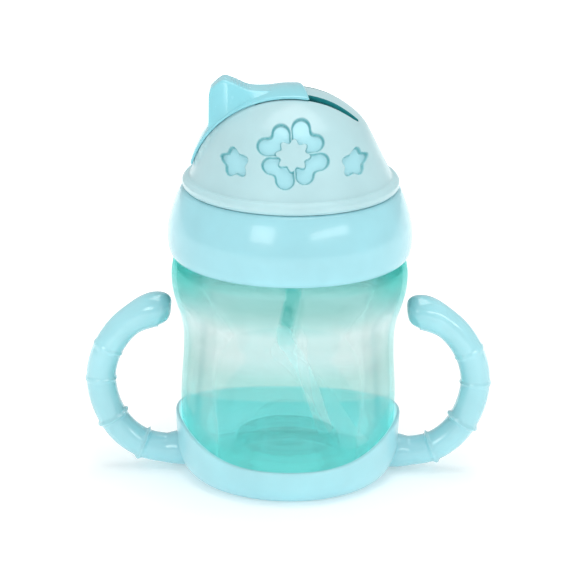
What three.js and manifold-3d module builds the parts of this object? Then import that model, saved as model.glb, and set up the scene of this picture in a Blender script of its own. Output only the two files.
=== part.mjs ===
// Straw training cup with a slide lid, two handles and a pull-out base holder.
// Millimetres, +Z up. The origin is the centre of the foot; the front is -Y and the handles point along X.

import * as THREE from 'three';
import { mergeVertices } from 'three/addons/utils/BufferGeometryUtils.js';
import Module from 'manifold-3d';

const wasm = await Module();
wasm.setup();

// ---- Driving dimensions ----

const SEGMENTS = 32;
const GAP = 0.3;
const WELD = 0.001;
const QUARTER = Math.PI / 2;
const DEG = Math.PI / 180;

// Base holder: a scooped cup that the bottle drops into.
const FOOT_R = 31.2;
const FOOT_RING_R = 27;
const FOOT_RECESS = 0.8;
const BOWL_R = 38.9;
const BOWL_H = 13;
const HOLDER_TOP_R = 39.4;
const HOLDER_WALL = 1.5;
const HOLDER_FLOOR = 2.0;
const RIM_SIDE_Z = 22.4;
const RIM_FRONT_Z = 12.9;
const RIM_BACK_Z = 16.3;
const RIM_FRONT_POWER = 3.8;
const RIM_BACK_POWER = 2.1;
const RIM_LIP = 0.6;

// Handles: open hooks that leave the holder low down and end in a bulb beside the bottle.
const HANDLE_R = 5.2;
const BULB_R = 6.2;
const RIB_HEIGHTS = [0.9, 0.8, 0.4, 0.3];
const RIB_PLACES = [0.16, 0.34, 0.52, 0.66];
const RIB_HALF_LENGTH = 1.5;
const HANDLE_STEPS = 50;
const HANDLE_SIDES = 10;
const TENON_R = 3;
const TENON_FROM_X = 37.9;
const TENON_TO_X = 41;
const TENON_END_GAP = 1;

// Bottle: clear body with a waist, a threaded neck and a raised floor.
const BOTTLE_WALL = 1.8;
const BOTTLE_FOOT_Z = HOLDER_FLOOR + GAP;
const BOTTLE_FOOT_R = 29.2;
const NECK_R = 34.6;
const NECK_BORE_R = 33.0;
const NECK_BASE_Z = 79.8;
const NECK_TOP_Z = 97;
const PUNT_R = 18.6;
const PUNT_TOP_Z = 13.2;

// Screw thread between bottle neck and collar.
const THREAD_LEAD = 6;
const THREAD_TURNS = 1.3;
const THREAD_STEPS = 30;
const THREAD_HALF_HEIGHT = 1.1;
const NECK_THREAD_R = 35.8;
const COLLAR_THREAD_R = 36.6;
const NECK_THREAD_Z = 84.9;
const COLLAR_THREAD_Z = 81.9;

// Collar: the screw ring, with an inward lip that holds the lid's flange.
const COLLAR_BOTTOM_Z = 80.2;
const COLLAR_TOP_Z = 103.9;
const COLLAR_BORE_R = 37.4;
const COLLAR_LIP_Z = 101;
const COLLAR_LIP_R = 35.4;

// Lid base: deck, plug skirt, flange and the bosses that carry the slider.
const DECK_BOTTOM_Z = 95.6;
const DECK_TOP_Z = 97.2;
const SKIRT_BOTTOM_Z = 93.8;
const FLANGE_BOTTOM_Z = 99;
const FLANGE_TOP_Z = 100.6;
const FLANGE_R = 37;
const LID_NECK_R = 34.4;
const LID_NECK_TOP_Z = 106.6;
const LID_LEDGE_Z = 103.3;
const PIVOT_Z = 104;
const TRUNNION_R = 2.4;
const BOSS_IN_Y = 7.4;
const BOSS_OUT_Y = 10;
const BOSS_HALF_X = 5;

// Dome: a pale cover over a deeper blue shell, both with slits for the slider's arms and a spout window.
const COVER_WALL = 1.4;
const SHELL_WALL = 1.2;
const BEAD_R = 37.1;
const BEAD_BOTTOM_Z = 104.25;
const BEAD_TOP_Z = 107.6;
const TRACK_R = 34.25;
const SLIT_IN_Y = 5.1;
const SLIT_LEFT_X = -12.6;
const SLIT_RIGHT_X = 22.6;
const CLOVER_X = 0.6;
const CLOVER_Z = 122.4;
const CLOVER_TURN = -38 * DEG;
const CLOVER_PRESS = 0.85;
const STAR_X = [-19, 21.5];
const STAR_Z = 118.3;
const STAR_R = 4.9;
const STAR_PRESS = 0.93;
const WINDOW_X = -25.7;
const WINDOW_HALF_LENGTH = 5.4;
const WINDOW_HALF_WIDTH = 4.6;

// Slider: a thin crowned hood over the dome that turns about a line along Y, on two arms through the slits.
const SLIDER_R = 35.4;
const SLIDER_UNDER_R = 34.6;
const SLIDER_LEFT = 168 * DEG;
const SLIDER_RIGHT_FRONT = 80 * DEG;
const SLIDER_RIGHT_BACK = 86 * DEG;
const LEAF_HALF_LENGTH = 34.9;
const LEAF_HALF_WIDTH = 10;
const ARM_IN_Y = 5.5;
const ARM_OUT_Y = 6.9;
const ARM_FROM = 98 * DEG;
const ARM_TO = 108 * DEG;

// Drinking spout and straw.
const SPOUT_R = 4;
const SPOUT_BORE_R = 2.2;
const SPOUT_X = -4;
const FOLD = new THREE.Vector3(-15, 0, 111);
const FOLD_ANGLE = 30 * DEG;
const TIP_START = 7;
const TIP_LENGTH = 31;
const STRAW_R = 2.8;
const STRAW_BORE_R = 2.3;
const SPIGOT_R = 2;
const SPIGOT_BORE_R = 1.2;
const VALVE_X = 17;

// ---- Solid modelling helpers ----

function signedVolume(points, triangles) {
  const a = new THREE.Vector3();
  const b = new THREE.Vector3();
  const c = new THREE.Vector3();
  let six = 0;
  for (let i = 0; i < triangles.length; i += 3) {
    a.fromArray(points, 3 * triangles[i]);
    b.fromArray(points, 3 * triangles[i + 1]);
    c.fromArray(points, 3 * triangles[i + 2]);
    six += a.dot(b.cross(c));
  }
  return six / 6;
}

// A closed geometry as a manifold solid with its faces outward.
function solid(geometry) {
  const bare = geometry.clone();
  bare.deleteAttribute('normal');
  bare.deleteAttribute('uv');
  const welded = mergeVertices(bare, WELD);
  const points = Float32Array.from(welded.attributes.position.array);
  const index = welded.index.array;
  const kept = [];
  for (let i = 0; i < index.length; i += 3) {
    const [a, b, c] = [index[i], index[i + 1], index[i + 2]];
    if (a !== b && b !== c && c !== a) kept.push(a, b, c);
  }
  if (signedVolume(points, kept) < 0) {
    for (let i = 0; i < kept.length; i += 3) {
      [kept[i + 1], kept[i + 2]] = [kept[i + 2], kept[i + 1]];
    }
  }
  const mesh = new wasm.Mesh({ numProp: 3, vertProperties: points, triVerts: Uint32Array.from(kept) });
  return new wasm.Manifold(mesh);
}

function geometryOf(manifold) {
  const mesh = manifold.getMesh();
  const geometry = new THREE.BufferGeometry();
  geometry.setAttribute('position', new THREE.BufferAttribute(Float32Array.from(mesh.vertProperties), 3));
  geometry.setIndex(new THREE.BufferAttribute(Uint32Array.from(mesh.triVerts), 1));
  geometry.computeVertexNormals();
  return geometry;
}

// A profile of [radius, height] pairs turned about Z.
function turned(profile, segments = SEGMENTS) {
  const points = profile.map(([r, z]) => new THREE.Vector2(r, z));
  return solid(new THREE.LatheGeometry(points, segments).rotateX(QUARTER));
}

// The same, with a profile that changes with the angle from the front; every profile has as many points.
function turnedBy(profileAt, segments = SEGMENTS) {
  const points = profileAt(0).map(([r, z]) => new THREE.Vector2(r, z));
  const geometry = new THREE.LatheGeometry(points, segments);
  for (let i = 0; i <= segments; i++) {
    const angle = ((i % segments) / segments) * 2 * Math.PI;
    profileAt(angle).forEach(([r, z], j) => {
      const vertex = i * points.length + j;
      geometry.attributes.position.setXYZ(vertex, r * Math.sin(angle), z, r * Math.cos(angle));
    });
  }
  return solid(geometry.rotateX(QUARTER));
}

// A closed profile of [x, z] pairs pushed along Y from one plane to another.
function plate(outline, yFrom, yTo) {
  const shape = outline instanceof THREE.Shape
    ? outline
    : new THREE.Shape(outline.map(([x, z]) => new THREE.Vector2(x, z)));
  const geometry = new THREE.ExtrudeGeometry(shape, { depth: yTo - yFrom, bevelEnabled: false });
  return solid(geometry.rotateX(QUARTER).translate(0, yTo, 0));
}

// A cylinder along Z.
function rod(radius, zFrom, zTo, x = 0, y = 0, segments = 20) {
  const geometry = new THREE.CylinderGeometry(radius, radius, zTo - zFrom, segments);
  return solid(geometry.rotateX(QUARTER).translate(x, y, (zFrom + zTo) / 2));
}

// A cylinder along Y.
function rodAcross(radius, yFrom, yTo, x, z, segments = 20) {
  const geometry = new THREE.CylinderGeometry(radius, radius, yTo - yFrom, segments);
  return solid(geometry.translate(x, (yFrom + yTo) / 2, z));
}

// A round section along a curve; radiusAt takes the share of the length run so far.
function tube(curve, radiusAt, steps, sides = 8) {
  const circle = new THREE.Shape().absarc(0, 0, 1, 0, 2 * Math.PI);
  const options = { steps, extrudePath: curve, curveSegments: sides / 2 };
  const geometry = new THREE.ExtrudeGeometry(circle, options);
  const stations = curve.getSpacedPoints(steps);
  const position = geometry.attributes.position;
  const point = new THREE.Vector3();
  for (let i = 0; i < position.count; i++) {
    point.fromBufferAttribute(position, i);
    const away = stations.map((s) => s.distanceToSquared(point));
    const nearest = away.indexOf(Math.min(...away));
    const centre = stations[nearest];
    point.sub(centre).multiplyScalar(radiusAt(nearest / steps)).add(centre);
    position.setXYZ(i, point.x, point.y, point.z);
  }
  return solid(geometry);
}

// The six-sided body whose bottom and top sheets are given by pointAt(u, v, layer), u and v from 0 to 1.
function block(alongSteps, acrossSteps, pointAt) {
  const geometry = new THREE.BoxGeometry(1, 1, 1, alongSteps, acrossSteps, 1);
  const position = geometry.attributes.position;
  for (let i = 0; i < position.count; i++) {
    const u = position.getX(i) + 0.5;
    const v = position.getY(i) + 0.5;
    const layer = position.getZ(i) + 0.5;
    position.setXYZ(i, ...pointAt(u, v, layer));
  }
  return solid(geometry);
}

// A helical ridge of triangular-looking trapezoid section that joins a wall at wallR and ends at tipR.
function ridge(wallR, tipR, zStart) {
  return block(THREAD_STEPS, 1, (u, v, layer) => {
    const angle = u * THREAD_TURNS * 2 * Math.PI;
    const reach = wallR + (tipR - wallR) * layer * Math.min(1, 12 * u + 0.1, 12 * (1 - u) + 0.1);
    const half = THREAD_HALF_HEIGHT * (1 - 0.55 * layer);
    const z = zStart + THREAD_LEAD * THREAD_TURNS * u + (2 * v - 1) * half;
    return [reach * Math.cos(angle), reach * Math.sin(angle), z];
  });
}

const spline = (pairs, count) => new THREE.SplineCurve(pairs.map((p) => new THREE.Vector2(...p)))
  .getPoints(count)
  .map((p) => [p.x, p.y]);

const mix = (a, b, t) => a + (b - a) * t;

// A profile moved sideways along its own normals; positive is to the left of its direction.
function offset(profile, distance) {
  return profile.map(([r, z], i) => {
    const before = profile[Math.max(0, i - 1)];
    const after = profile[Math.min(profile.length - 1, i + 1)];
    const dr = after[0] - before[0];
    const dz = after[1] - before[1];
    const length = Math.hypot(dr, dz);
    return [Math.max(0, r - (dz / length) * distance), z + (dr / length) * distance];
  });
}

// ---- Base holder ----

function rimHeight(angle) {
  const back = (1 - Math.cos(angle)) / 2;
  const low = mix(RIM_FRONT_Z, RIM_BACK_Z, back);
  const power = mix(RIM_FRONT_POWER, RIM_BACK_POWER, back);
  return low + (RIM_SIDE_Z - low) * Math.abs(Math.sin(angle)) ** power;
}

// The radius of a bowl corner: a quarter ellipse that stands on footR at footZ and ends upright.
function bowl(z, footR, footZ) {
  const rise = (BOWL_H - z) / (BOWL_H - footZ);
  return footR + (BOWL_R - FOOT_R) * Math.sqrt(Math.max(0, 1 - rise * rise));
}

function holderOuterR(z) {
  if (z < BOWL_H) return bowl(z, FOOT_R, 0);
  return mix(BOWL_R, HOLDER_TOP_R, (z - BOWL_H) / (RIM_SIDE_Z - BOWL_H));
}

function holderInnerR(z) {
  if (z < BOWL_H) return bowl(z, FOOT_R - HOLDER_WALL, HOLDER_FLOOR);
  return holderOuterR(z) - HOLDER_WALL;
}

function baseHolder() {
  const bowlHeights = [1, 2.5, 5, 8.5];
  const wallShares = [0.5, 1];
  return turnedBy((angle) => {
    const top = rimHeight(angle);
    const wall = wallShares.map((s) => mix(8.5, top - RIM_LIP, s));
    const outer = [0, ...bowlHeights, ...wall].map((z) => [holderOuterR(z), z]);
    const inner = [...[...wall].reverse(), ...[...bowlHeights].reverse().map((z) => z + 1), HOLDER_FLOOR]
      .map((z) => [holderInnerR(z), z]);
    const lip = [[holderOuterR(top) - RIM_LIP, top], [holderInnerR(top) + 0.2, top]];
    return [[0, FOOT_RECESS], [FOOT_RING_R, FOOT_RECESS], [FOOT_RING_R + 1, 0], ...outer, ...lip, ...inner,
      [0, HOLDER_FLOOR]];
  });
}

// ---- Handles ----

const HANDLE_PATH = [
  [37.2, 6.9], [43.5, 6.9], [51, 8.6], [57.9, 13.5], [62.8, 21], [65.3, 29.6],
  [65.2, 37.4], [62.2, 45.8], [56, 53.5], [47, 58.3], [41.2, 57.2],
];

function handleRadius(share) {
  const bulb = THREE.MathUtils.smoothstep(share, 0.8, 0.93);
  const flare = 0.7 * (1 - THREE.MathUtils.smoothstep(share, 0, 0.08));
  const end = Math.max(0, (share - 0.95) / 0.05);
  let radius = (mix(HANDLE_R, BULB_R, bulb) + flare) * Math.sqrt(Math.max(0.06, 1 - 0.94 * end * end));
  RIB_PLACES.forEach((place, i) => {
    const away = Math.abs(share - place) * HANDLE_STEPS / RIB_HALF_LENGTH;
    radius += RIB_HEIGHTS[i] * Math.max(0, 1 - away);
  });
  return radius;
}

function handle(side) {
  const route = HANDLE_PATH.map(([x, z]) => new THREE.Vector3(side * x, 0, z));
  const curve = new THREE.CatmullRomCurve3(route);
  const hook = tube(curve, handleRadius, HANDLE_STEPS, HANDLE_SIDES);
  const outside = turnedBy((angle) => [[0, -5], [holderOuterR(0) + GAP, -5],
    ...[0, 1, 2.5, 5, 8.5, BOWL_H, rimHeight(angle)].map((z) => [holderOuterR(z) + GAP, z]),
    [HOLDER_TOP_R, RIM_SIDE_Z + 4], [0, RIM_SIDE_Z + 4]]);
  const peg = (fromX, radius) => tube(new THREE.LineCurve3(
    new THREE.Vector3(side * fromX, 0, HANDLE_PATH[0][1]),
    new THREE.Vector3(side * TENON_TO_X, 0, HANDLE_PATH[0][1]),
  ), () => radius, 1, HANDLE_SIDES);
  const tenon = peg(TENON_FROM_X, TENON_R);
  const socket = peg(TENON_FROM_X - TENON_END_GAP, TENON_R + GAP);
  return { piece: hook.subtract(outside).add(tenon), socket };
}

// ---- Bottle ----

const BODY = [
  [37.05, BOWL_H], [37.4, 24], [37.5, 30], [37.2, 36.5], [36.75, 44], [36.9, 52], [37.9, 57.5],
  [39.5, 62.8], [40.7, 68], [40.95, 73.4], [40.4, 77.2],
];

function bottleFoot(z, inset) {
  const rise = (BOWL_H - z) / (BOWL_H - BOTTLE_FOOT_Z);
  return BOTTLE_FOOT_R + (37.05 - BOTTLE_FOOT_R) * Math.sqrt(Math.max(0, 1 - rise * rise)) - inset;
}

function bottle() {
  const floor = BOTTLE_FOOT_Z + BOTTLE_WALL;
  const under = [[0, PUNT_TOP_Z - 4.2], [PUNT_R - 4, PUNT_TOP_Z - 3.2], [PUNT_R - 1.8, BOTTLE_FOOT_Z + 3],
    [PUNT_R + 3, BOTTLE_FOOT_Z]];
  const foot = [BOTTLE_FOOT_Z, 3.2, 5, 8.5].map((z) => [bottleFoot(z, 0), z]);
  const body = spline(BODY, 12);
  const shoulder = [[39.2, 78.9], [36.6, 79.5], [NECK_R, NECK_BASE_Z]];
  const mouth = [[NECK_R, NECK_TOP_Z], [NECK_BORE_R, NECK_TOP_Z], [NECK_BORE_R, NECK_BASE_Z - 1]];
  const inside = offset(body, BOTTLE_WALL).slice(0, -1).reverse();
  const innerFoot = [8.5, 6, floor + 0.4].map((z) => [bottleFoot(z - 0.6, BOTTLE_WALL), z]);
  const punt = [[PUNT_R + 4, floor], [PUNT_R, floor + 4], [PUNT_R - 0.8, PUNT_TOP_Z],
    [PUNT_R - 6, PUNT_TOP_Z - 0.6], [5, PUNT_TOP_Z - 1.4], [4.6, PUNT_TOP_Z - 2.2], [0, PUNT_TOP_Z - 2.2]];
  const skin = [...under, ...foot, ...body, ...shoulder];
  const shell = turned([...skin, ...mouth, ...inside, ...innerFoot, ...punt]);
  return shell.add(ridge(NECK_R - 0.3, NECK_THREAD_R, NECK_THREAD_Z));
}

// ---- Collar and gasket ----

function collar() {
  const crown = [[41.5, 93.4], [40.6, 96.4], [39.6, 99.3], [38.4, 102.2], [37.8, 103.4],
    [37, COLLAR_TOP_Z]];
  const skirt = [[40.9, COLLAR_BOTTOM_Z], [41.7, COLLAR_BOTTOM_Z + 0.6], [42.3, 83.2], [42.3, 88.5]];
  const ring = turned([[COLLAR_BORE_R, COLLAR_BOTTOM_Z], ...skirt, ...crown, [COLLAR_LIP_R, COLLAR_TOP_Z],
    [COLLAR_LIP_R, COLLAR_LIP_Z], [COLLAR_BORE_R, COLLAR_LIP_Z], [COLLAR_BORE_R, COLLAR_BOTTOM_Z]]);
  return ring.add(ridge(COLLAR_BORE_R + 0.3, COLLAR_THREAD_R, COLLAR_THREAD_Z));
}

function gasket() {
  const low = NECK_TOP_Z + GAP;
  const high = FLANGE_BOTTOM_Z - GAP;
  const middle = (low + high) / 2;
  return turned([[33.1, low], [35.4, low], [36.4, middle], [35.4, high], [33.1, high], [33.1, low]]);
}

// ---- Lid base ----

function lidBase() {
  const disc = turned([
    [0, DECK_BOTTOM_Z], [30.8, DECK_BOTTOM_Z], [30.8, SKIRT_BOTTOM_Z], [32.2, SKIRT_BOTTOM_Z],
    [32.6, FLANGE_BOTTOM_Z], [FLANGE_R, FLANGE_BOTTOM_Z], [FLANGE_R, FLANGE_TOP_Z],
    [LID_NECK_R, FLANGE_TOP_Z], [LID_NECK_R, LID_NECK_TOP_Z], [33.5, LID_NECK_TOP_Z], [33.5, LID_LEDGE_Z],
    [31.6, LID_LEDGE_Z], [31.6, DECK_TOP_Z], [0, DECK_TOP_Z],
  ]);
  const bossOutline = [[-BOSS_HALF_X, DECK_TOP_Z - 1], [BOSS_HALF_X, DECK_TOP_Z - 1],
    [BOSS_HALF_X, PIVOT_Z + 1], [2.5, PIVOT_Z + 4.5], [-2.5, PIVOT_Z + 4.5], [-BOSS_HALF_X, PIVOT_Z + 1]];
  let lid = disc;
  for (const side of [-1, 1]) {
    const [from, to] = [side * BOSS_IN_Y, side * BOSS_OUT_Y].sort((a, b) => a - b);
    lid = lid.add(plate(bossOutline, from, to));
  }
  const bore = rodAcross(TRUNNION_R + 0.2, -BOSS_OUT_Y - 1, BOSS_OUT_Y + 1, 0, PIVOT_Z, 24);
  const spoutHole = rod(SPOUT_R + 0.6, DECK_BOTTOM_Z - 1, DECK_TOP_Z + 1, SPOUT_X);
  const valveHole = rod(2.2, DECK_BOTTOM_Z - 1, DECK_TOP_Z + 1, VALVE_X);
  return lid.subtract(bore).subtract(spoutHole).subtract(valveHole);
}

// ---- Dome cover and inner shell ----

const DOME = spline([[0, 138.2], [8, 137.2], [15, 134.7], [21.2, 130.6], [25.2, 126.6], [27.9, 121.9],
  [30.6, 116.3], [32.6, 112.4], [34.5, 108.6]], 10);

const leafHalf = (x) => LEAF_HALF_WIDTH * Math.sqrt(Math.max(0.02, 1 - (x / LEAF_HALF_LENGTH) ** 2));

// A plan outline as a cutter that runs the full height of the dome.
function planCutter(points) {
  const outline = new THREE.Shape(points.map(([x, y]) => new THREE.Vector2(x, y)));
  const geometry = new THREE.ExtrudeGeometry(outline, { depth: 50, bevelEnabled: false });
  return solid(geometry.translate(0, 0, BEAD_TOP_Z + 0.8));
}

// The two slits that the slider's arms travel in, and the window that the spout rises through.
function openings(grow) {
  const left = SLIT_LEFT_X - grow;
  const right = SLIT_RIGHT_X + grow;
  const outerEdge = [0, 0.2, 0.4, 0.6, 0.8, 0.95].map((t) => {
    const x = mix(left, right, t);
    return [x, leafHalf(x) - 0.4 + grow];
  });
  const innerY = SLIT_IN_Y - grow;
  const slit = [[left, innerY], ...outerEdge, [right, SLIT_IN_Y + 1.4], [right, innerY]];
  const window = [];
  for (let i = 0; i < 16; i++) {
    const angle = (i / 16) * 2 * Math.PI;
    window.push([WINDOW_X + (WINDOW_HALF_LENGTH + grow) * Math.cos(angle),
      (WINDOW_HALF_WIDTH + grow) * Math.sin(angle)]);
  }
  const mirrored = slit.map(([x, y]) => [x, -y]);
  return planCutter([...slit].reverse()).add(planCutter(mirrored)).add(planCutter(window));
}

// A point on a sphere about the slider's pivot, at an angle in the front plane and a distance along Y.
function crowned(radius, angle, y) {
  const reach = Math.sqrt(radius * radius - y * y);
  return [reach * Math.cos(angle), y, PIVOT_Z + reach * Math.sin(angle)];
}

// A shape in the front plane, as a cutter that opens the front of the dome.
function frontCutter(shape) {
  const geometry = new THREE.ExtrudeGeometry(shape, { depth: 40, bevelEnabled: false, curveSegments: 6 });
  return solid(geometry.rotateX(QUARTER));
}

// A petal with two round lobes that points away from the clover's middle.
function petal(angle) {
  const shape = new THREE.Shape();
  const inner = 4.6;
  const outer = 12.6;
  shape.moveTo(0, inner);
  shape.bezierCurveTo(-6.5, inner + 2.5, -6.5, outer + 2.5, -0.2, outer - 0.8);
  shape.bezierCurveTo(6.5, outer + 2.5, 6.5, inner + 2.5, 0, inner);
  return new THREE.Shape(shape.getPoints(5).slice(0, -1)
    .map((p) => p.rotateAround(new THREE.Vector2(0, 0), angle)));
}

function star(size) {
  const points = [];
  for (let i = 0; i < 20; i++) {
    const angle = QUARTER + (i / 20) * 2 * Math.PI;
    const radius = size * (0.84 + 0.16 * Math.cos(5 * (angle - QUARTER)));
    points.push(new THREE.Vector2(radius * Math.cos(angle), radius * Math.sin(angle)));
  }
  return new THREE.Shape(points);
}

// The same shape moved to (x, z) and pressed lower, as the dome's slope foreshortens it.
const placed = (shape, x, z, press) => new THREE.Shape(shape.getPoints()
  .map((p) => new THREE.Vector2(x + p.x, z + p.y * press)));

function domeCover() {
  const inner = offset([...DOME].reverse(), COVER_WALL);
  inner[inner.length - 1] = [0, DOME[0][1] - COVER_WALL];
  const bead = [[35.6, BEAD_TOP_Z], [36.6, 107.1], [BEAD_R, 106.2], [BEAD_R, 105], [36.6, BEAD_BOTTOM_Z]];
  const neck = [[LID_NECK_R + GAP, BEAD_BOTTOM_Z], [LID_NECK_R + GAP, LID_NECK_TOP_Z + GAP]];
  const middle = offset([...DOME].reverse(), COVER_WALL / 2);
  middle[middle.length - 1] = [0, DOME[0][1] - COVER_WALL / 2];
  const core = turned([[0, BEAD_BOTTOM_Z], ...middle]);
  const track = block(18, 4, (u, v, layer) => {
    const angle = mix(SLIDER_LEFT, 98 * DEG, u);
    const half = leafHalf(SLIDER_R * Math.cos(angle)) - 0.3;
    return crowned(mix(29, TRACK_R, layer), angle, (2 * v - 1) * half);
  });
  let cover = turned([...DOME, ...bead, ...neck, ...inner]).add(track.subtract(core)).subtract(openings(0));
  for (let k = 0; k < 4; k++) {
    const shape = placed(petal(CLOVER_TURN + k * QUARTER), CLOVER_X, CLOVER_Z, CLOVER_PRESS);
    cover = cover.subtract(frontCutter(shape));
  }
  for (const x of STAR_X) {
    cover = cover.subtract(frontCutter(placed(star(STAR_R), x, STAR_Z, STAR_PRESS)));
  }
  return cover;
}

function innerShell() {
  const outer = offset([...DOME].reverse(), COVER_WALL + GAP).reverse();
  outer[0] = [0, DOME[0][1] - COVER_WALL - GAP];
  const inner = offset([...DOME].reverse(), COVER_WALL + GAP + SHELL_WALL);
  inner[inner.length - 1] = [0, DOME[0][1] - COVER_WALL - GAP - SHELL_WALL];
  const foot = LID_LEDGE_Z + GAP;
  const skirt = [[33.2, 106.9], [33.2, foot], [32, foot], [32, 106.9]];
  return turned([...outer.slice(0, -1), ...skirt, ...inner.slice(1)]).subtract(openings(0.35));
}

// ---- Slider ----

const TAB = [[-28.2, 137.6], [-27, 139.2], [-23.4, 141.8], [-20.4, 141.2], [-14.2, 138.5], [-6, 138.6]];
const TAB_RIBS = 4;

// The height of the thumb tab's top, with small ribs on the slope that faces right.
function tabTop(x) {
  const next = TAB.findIndex(([tx]) => tx >= x - WELD);
  const [x0, z0] = TAB[Math.max(0, next - 1)];
  const [x1, z1] = TAB[next];
  const z = next === 0 ? z1 : mix(z0, z1, (x - x0) / (x1 - x0));
  const run = (x + 20.4) / 6.2;
  const rib = run > 0 && run < 1 ? 0.45 * Math.abs(Math.sin(run * TAB_RIBS * Math.PI)) : 0;
  return z + rib;
}

function thumbTab() {
  const [left, right] = [TAB[0][0], TAB[TAB.length - 1][0]];
  const base = (SLIDER_R + SLIDER_UNDER_R) / 2;
  return block(28, 2, (u, v, layer) => {
    const x = mix(left, right, u);
    const across = (2 * v - 1) * Math.min(7.4, leafHalf(x) - 0.4);
    if (layer > 0.5) return [x, across * 0.62, tabTop(x)];
    return [x, across, PIVOT_Z + Math.sqrt(base * base - x * x - across * across)];
  });
}

function slider() {
  const leaf = block(22, 4, (u, v, layer) => {
    const angle = mix(mix(SLIDER_RIGHT_FRONT, SLIDER_RIGHT_BACK, v), SLIDER_LEFT, u);
    const half = leafHalf(SLIDER_R * Math.cos(angle));
    return crowned(mix(SLIDER_UNDER_R, SLIDER_R, layer), angle, (2 * v - 1) * half);
  });
  const reach = SLIDER_UNDER_R - 0.3;
  const arm = [[-3.5, PIVOT_Z - 2], [0, PIVOT_Z - 4], [3.5, PIVOT_Z - 2], [3.6, PIVOT_Z + 2],
    [reach * Math.cos(ARM_FROM), PIVOT_Z + reach * Math.sin(ARM_FROM)],
    [reach * Math.cos(ARM_TO), PIVOT_Z + reach * Math.sin(ARM_TO)], [-4.2, PIVOT_Z + 2]];
  let body = leaf.add(thumbTab());
  for (const side of [-1, 1]) {
    const between = (a, b) => [Math.min(side * a, side * b), Math.max(side * a, side * b)];
    body = body.add(plate([...arm].reverse(), ...between(ARM_IN_Y, ARM_OUT_Y)));
    body = body.add(rodAcross(TRUNNION_R, ...between(ARM_IN_Y + 0.4, BOSS_OUT_Y - GAP), 0, PIVOT_Z, 24));
  }
  return body;
}

// ---- Spout, straw and vent valve ----

const along = (points) => new THREE.CatmullRomCurve3(points.map((p) => new THREE.Vector3(...p)));

// A hollow tube open at both ends.
function hose(points, radius, boreRadius, steps, sides = 8) {
  const curve = along(points);
  const first = curve.getTangent(0).multiplyScalar(-1).add(curve.getPoint(0));
  const last = curve.getTangent(1).add(curve.getPoint(1));
  const longer = along([first.toArray(), ...points, last.toArray()]);
  const bore = tube(longer, () => boreRadius, steps + 2, sides);
  return tube(curve, () => radius, steps, sides).subtract(bore);
}

const FOLD_DIRECTION = [Math.cos(FOLD_ANGLE), Math.sin(FOLD_ANGLE)];
function alongTip(distance) {
  return [FOLD.x + distance * FOLD_DIRECTION[0], 0, FOLD.z + distance * FOLD_DIRECTION[1]];
}

const STEM = [[SPOUT_X, 0, 90], [SPOUT_X, 0, 97], [-5, 0, 101.5], [-8.6, 0, 106.2], [-13.2, 0, 109.6]];

function spoutBase() {
  const flange = rod(6.4, DECK_TOP_Z + GAP, DECK_TOP_Z + 1.8, SPOUT_X);
  const spigot = rod(SPIGOT_R, 84.6, 90.4, SPOUT_X);
  const stem = tube(along(STEM), () => SPOUT_R, 12);
  const bore = tube(along([[SPOUT_X, 0, 83], [SPOUT_X, 0, 90], ...STEM.slice(1), [-16, 0, 111.2]]),
    () => SPIGOT_BORE_R, 14);
  return stem.add(flange).add(spigot).subtract(bore);
}

function spoutTip() {
  const stations = [0, 0.25, 0.6, 1].map((t) => alongTip(mix(TIP_START, TIP_LENGTH, t)));
  return hose(stations, SPOUT_R, SPOUT_BORE_R, 5);
}

const UPPER_STRAW = [[SPOUT_X, 0, 89.6], [SPOUT_X, 0, 84], [-1.2, 0, 77.5], [1.4, 0, 71.5], [1.6, 0, 66],
  [0.5, 0, 60], [-0.2, 0, 57], [-0.9, 0, 53.6]];
const LOWER_STRAW = [[-1, 0, 53.2], [-1.7, 0, 50], [-1.2, 0.3, 47], [1.6, 1.6, 42.6], [5.2, 6, 34.5],
  [8.2, 11.5, 25.5], [10.8, 17, 15.5], [13.4, 20.6, 6.6]];

const STRAW_LINK = [[0.3, 0, 59.2], [-0.35, 0, 56.4], [-1.2, 0, 52.4]];

function ventValve() {
  const cap = DECK_TOP_Z + GAP;
  return turned([[0, DECK_BOTTOM_Z - 3], [1.4, DECK_BOTTOM_Z - 3], [3.2, DECK_BOTTOM_Z - GAP - 0.9],
    [3.2, DECK_BOTTOM_Z - GAP], [1.9, DECK_BOTTOM_Z - GAP], [1.9, cap], [5, cap], [4.6, cap + 1],
    [1.5, cap + 1.7], [0, cap + 1.7]], 16).translate([VALVE_X, 0, 0]);
}

// ---- The assembly ----

const COLOURS = {
  holder: 0xb9ebf3,
  handle: 0xa9e2ea,
  bottle: 0x8fd8d4,
  collar: 0xaee3eb,
  cover: 0xc4e5e7,
  shell: 0xa5e1e9,
  slider: 0x96d9e4,
  silicone: 0xe4f2f2,
  straw: 0x9fd8d6,
};

const cup = new THREE.Group();

function add(name, manifold, colour, roughness = 0.35) {
  const material = new THREE.MeshStandardMaterial({ color: colour, roughness, metalness: 0 });
  const mesh = new THREE.Mesh(geometryOf(manifold), material);
  mesh.name = name;
  cup.add(mesh);
}

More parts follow.
